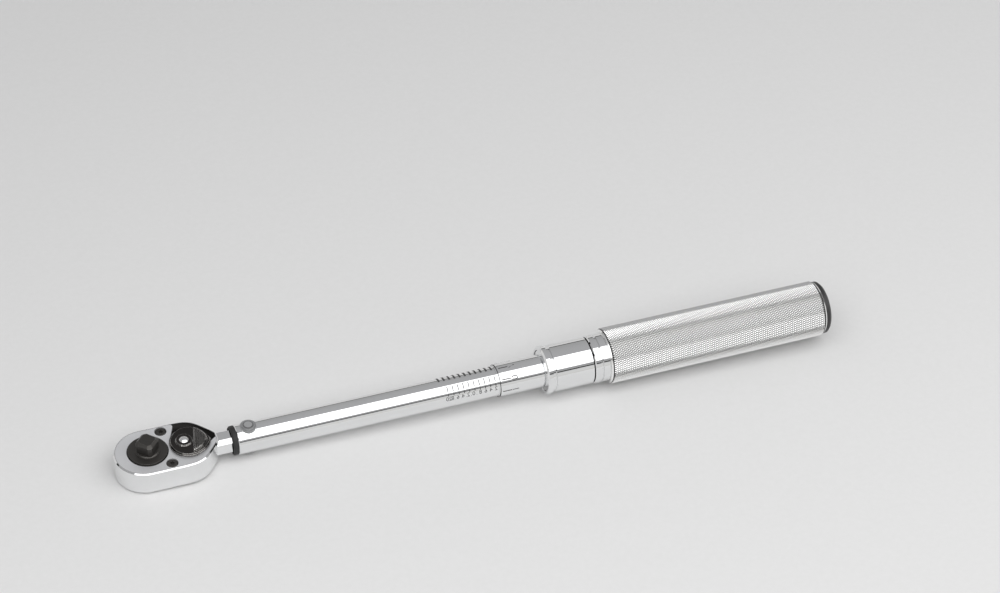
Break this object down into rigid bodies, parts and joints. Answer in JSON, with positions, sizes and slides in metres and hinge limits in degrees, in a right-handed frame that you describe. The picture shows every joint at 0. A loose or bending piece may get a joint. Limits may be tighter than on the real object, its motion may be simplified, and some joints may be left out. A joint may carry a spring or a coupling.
{
  "type": "torque wrench",
  "caption": "Click-type micrometer torque wrench with a reversible round ratchet head, 3/8 in square drive, graduated sleeve, lock ring and knurled metal grip.",
  "frame": {"origin": "on the axis of the square drive, in the plane where the tang leaves the gear flange", "axes": "+Z out of the square drive along its axis; +X along the wrench towards the grip; +Y completes the right-handed frame"},
  "size_m": [0.3925, 0.032, 0.0302],
  "materials": {
    "chrome": "gloss",
    "satin_plate": "satin",
    "black_oxide": "satin",
    "black_chrome": "gloss",
    "bare_steel": "satin",
    "zinc": "matte",
    "rubber_black": "matte",
    "plastic_black": "matte"
  },
  "bodies": {
    "tube": {"tube": "chrome", "front_seal": "rubber_black", "pivot_pin": "zinc", "thread_nut": "bare_steel", "nut_pins": "bare_steel", "main_spring": "bare_steel"},
    "head": {"head_casing": "chrome", "cover_plate": "satin_plate", "cover_screws": "black_oxide", "gear_seal": "rubber_black", "lever_detent_ball": "bare_steel", "lever_detent_spring": "bare_steel"},
    "drive": {"drive_gear": "black_oxide", "detent_spring": "bare_steel"},
    "socket_detent": {"detent_ball": "bare_steel"},
    "lever": {"reversing_lever": "black_chrome", "lever_shaft": "chrome", "pawl_plunger": "bare_steel", "pawl_spring": "bare_steel"},
    "pawl": {"ratchet_pawl": "bare_steel"},
    "plunger": {"spring_plunger": "bare_steel"},
    "block": {"click_block": "bare_steel"},
    "carriage": {"spring_seat": "bare_steel", "thrust_ball": "bare_steel"},
    "handle": {"load_screw": "bare_steel", "sleeve": "chrome", "lock_balls": "bare_steel", "grip_collar": "chrome", "grip": "chrome", "end_plug": "bare_steel", "end_washer": "bare_steel", "end_nut": "bare_steel", "end_cap": "plastic_black", "lock_retainer": "chrome", "lock_spring": "bare_steel"},
    "lock": {"lock_ring": "chrome"}
  },
  "joints": [
    {"name": "click_pivot", "type": "hinge", "parent": "tube", "child": "head", "pos_m": [0.053, 0, -0.0069], "axis": [0, 0, 1], "range_deg": [-2.5, 2.5], "stiffness_Nm_per_rad": 12},
    {"name": "drive_turn", "type": "hinge", "parent": "head", "child": "drive", "pos_m": [0, 0, 0], "axis": [0, 0, 1], "continuous": true},
    {"name": "socket_detent_press", "type": "slide", "parent": "drive", "child": "socket_detent", "axis": [-0.7071, -0.7071, 0], "range_m": [0, 0.0006], "stiffness_N_per_m": 1500, "springref_m": -0.0006, "deforming": ["detent_spring"]},
    {"name": "lever_turn", "type": "hinge", "parent": "head", "child": "lever", "pos_m": [0.0191, 0, 0], "axis": [0, 0, 1], "range_deg": [0, 28]},
    {"name": "pawl_rock", "type": "hinge", "parent": "head", "child": "pawl", "pos_m": [0.0191, 0, 0], "axis": [0, 0, 1], "range_deg": [0, 8]},
    {"name": "plunger_slide", "type": "slide", "parent": "tube", "child": "plunger", "axis": [1, 0, 0], "range_m": [0, 0.001], "stiffness_N_per_m": 20000, "springref_m": -0.001, "deforming": ["main_spring"]},
    {"name": "block_rock", "type": "hinge", "parent": "plunger", "child": "block", "pos_m": [0.0935, 0, -0.0069], "axis": [0, 0, 1], "range_deg": [-18, 18]},
    {"name": "load_travel", "type": "slide", "parent": "tube", "child": "carriage", "axis": [-1, 0, 0], "range_m": [0, 0.0261], "deforming": ["main_spring"]},
    {"name": "handle_turn", "type": "hinge", "parent": "carriage", "child": "handle", "pos_m": [0.3, 0, -0.0069], "axis": [1, 0, 0], "range_deg": [0, 3240]},
    {"name": "lock_slide", "type": "slide", "parent": "handle", "child": "lock", "axis": [-1, 0, 0], "range_m": [0, 0.0035], "stiffness_N_per_m": 900, "springref_m": -0.003, "deforming": ["lock_spring"]}
  ],
  "couplings": [
    {"joint": "pawl_rock", "follows": "lever_turn", "ratio": 0.28571},
    {"joint": "block_rock", "follows": "click_pivot", "ratio": -7.06},
    {"joint": "handle_turn", "follows": "load_travel", "rad_per_m": 2166.6}
  ]
}
